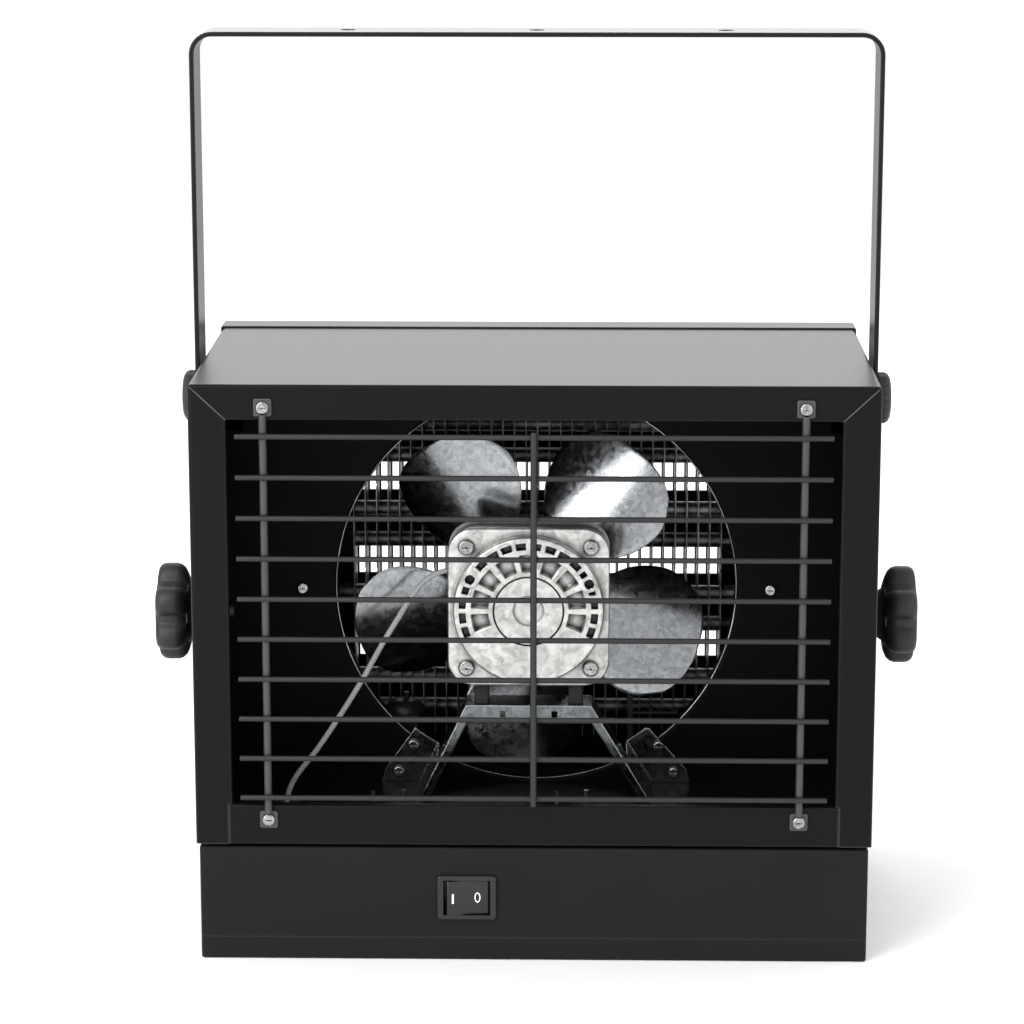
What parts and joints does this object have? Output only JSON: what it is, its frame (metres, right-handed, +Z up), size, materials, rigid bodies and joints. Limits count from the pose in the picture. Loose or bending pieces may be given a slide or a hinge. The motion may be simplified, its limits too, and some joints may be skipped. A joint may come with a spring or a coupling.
{
  "type": "fan-forced workshop heater",
  "caption": "Fan-forced electric heater in a sheet-steel case with a wire guard, finned elements, a rocker switch and a tilting strap bracket to hang it by.",
  "frame": {"origin": "centre of the control base's flat underside", "axes": "+Z up, -Y out through the wire guard (front), +X to the right of someone facing the guard"},
  "size_m": [0.4146, 0.22, 0.483],
  "materials": {
    "casing_black": "satin black powder coat",
    "base_black": "fine matt black powder coat",
    "guard_black": "black enamelled wire",
    "rod_black": "black enamelled rod with a brighter gloss",
    "bracket_black": "semi-gloss black powder coat",
    "plate_black": "matt black heat-resistant paint",
    "zinc_screw": "bright zinc plate",
    "galvanised": "galvanised sheet",
    "cast_alloy": "as-cast aluminium alloy",
    "laminations": "varnished stamped steel",
    "copper_winding": "enamelled copper wire",
    "bearing_bronze": "sintered bronze",
    "shaft_steel": "ground steel",
    "blade_alloy": "bright stamped aluminium",
    "element_steel": "dull heat-darkened steel",
    "sleeve_grey": "woven heat-resistant sleeve",
    "rubber_black": "moulded rubber",
    "phenolic_black": "moulded phenolic",
    "switch_black": "semi-gloss moulded nylon",
    "tinned_brass": "tinned brass",
    "knob_black": "moulded nylon",
    "fibre_washer": "vulcanised fibre"
  },
  "bodies": {
    "housing": {"casing_wrap": "casing_black", "casing_floor": "casing_black", "rear_panel": "casing_black", "casing_screws": "zinc_screw", "guard_wires": "guard_black", "guard_rod_left": "rod_black", "guard_rod_right": "rod_black", "guard_brace": "guard_black", "guard_screws": "zinc_screw", "orifice_plate": "plate_black", "motor_stand": "galvanised", "plate_screws": "zinc_screw", "mount_block_left": "rubber_black", "mount_block_right": "rubber_black", "motor_front_shield": "cast_alloy", "motor_rear_shield": "cast_alloy", "bearing_front": "bearing_bronze", "bearing_rear": "bearing_bronze", "stator_core": "laminations", "stator_coils": "copper_winding", "motor_screws": "zinc_screw", "heating_element_1": "element_steel", "heating_element_2": "element_steel", "heating_element_3": "element_steel", "heating_element_4": "element_steel", "element_bracket_left": "plate_black", "element_bracket_right": "plate_black", "element_links": "tinned_brass", "supply_leads": "sleeve_grey", "thermal_cutout": "phenolic_black", "cutout_bracket": "plate_black", "fuse_link": "phenolic_black", "floor_pins": "zinc_screw", "motor_lead": "sleeve_grey", "lead_grommets": "rubber_black", "base_box": "base_black", "base_back": "base_black", "base_pan": "base_black", "base_screws": "zinc_screw", "switch_frame": "switch_black", "switch_terminals": "tinned_brass", "terminal_block": "phenolic_black", "terminal_screws": "tinned_brass", "cable_gland": "phenolic_black", "gland_nut": "phenolic_black", "pivot_washers": "fibre_washer", "pivot_nuts": "zinc_screw"},
    "bracket": {"bracket": "bracket_black", "lock_nuts": "zinc_screw"},
    "star_knob_left": {"star_knob_left": "knob_black"},
    "star_knob_right": {"star_knob_right": "knob_black"},
    "lock_knob_left": {"lock_knob_left": "knob_black"},
    "lock_knob_right": {"lock_knob_right": "knob_black"},
    "rocker": {"rocker": "switch_black"},
    "fan": {"fan_wheel": "blade_alloy", "fan_hub": "cast_alloy", "fan_set_screw": "shaft_steel", "motor_shaft": "shaft_steel", "rotor": "laminations"}
  },
  "joints": [
    {"name": "bracket_tilt", "type": "hinge", "parent": "housing", "child": "bracket", "pos_m": [0, 0, 0.1655], "axis": [1, 0, 0], "range_deg": [-30, 30]},
    {"name": "star_left_turn", "type": "hinge", "parent": "housing", "child": "star_knob_left", "pos_m": [-0.19, 0, 0.1655], "axis": [-1, 0, 0], "range_deg": [0, 360]},
    {"name": "star_right_turn", "type": "hinge", "parent": "housing", "child": "star_knob_right", "pos_m": [0.19, 0, 0.1655], "axis": [1, 0, 0], "range_deg": [0, 360]},
    {"name": "lock_left_turn", "type": "hinge", "parent": "bracket", "child": "lock_knob_left", "pos_m": [-0.187, 0, 0.286], "axis": [-1, 0, 0], "range_deg": [0, 360]},
    {"name": "lock_right_turn", "type": "hinge", "parent": "bracket", "child": "lock_knob_right", "pos_m": [0.187, 0, 0.286], "axis": [1, 0, 0], "range_deg": [0, 360]},
    {"name": "rocker_press", "type": "hinge", "parent": "housing", "child": "rocker", "pos_m": [-0.0352, -0.0955, 0.0349], "axis": [0, 0, 1], "range_deg": [-20, 0]},
    {"name": "fan_spin", "type": "hinge", "parent": "housing", "child": "fan", "pos_m": [-0.0035, 0, 0.1775], "axis": [0, 1, 0], "continuous": true}
  ]
}
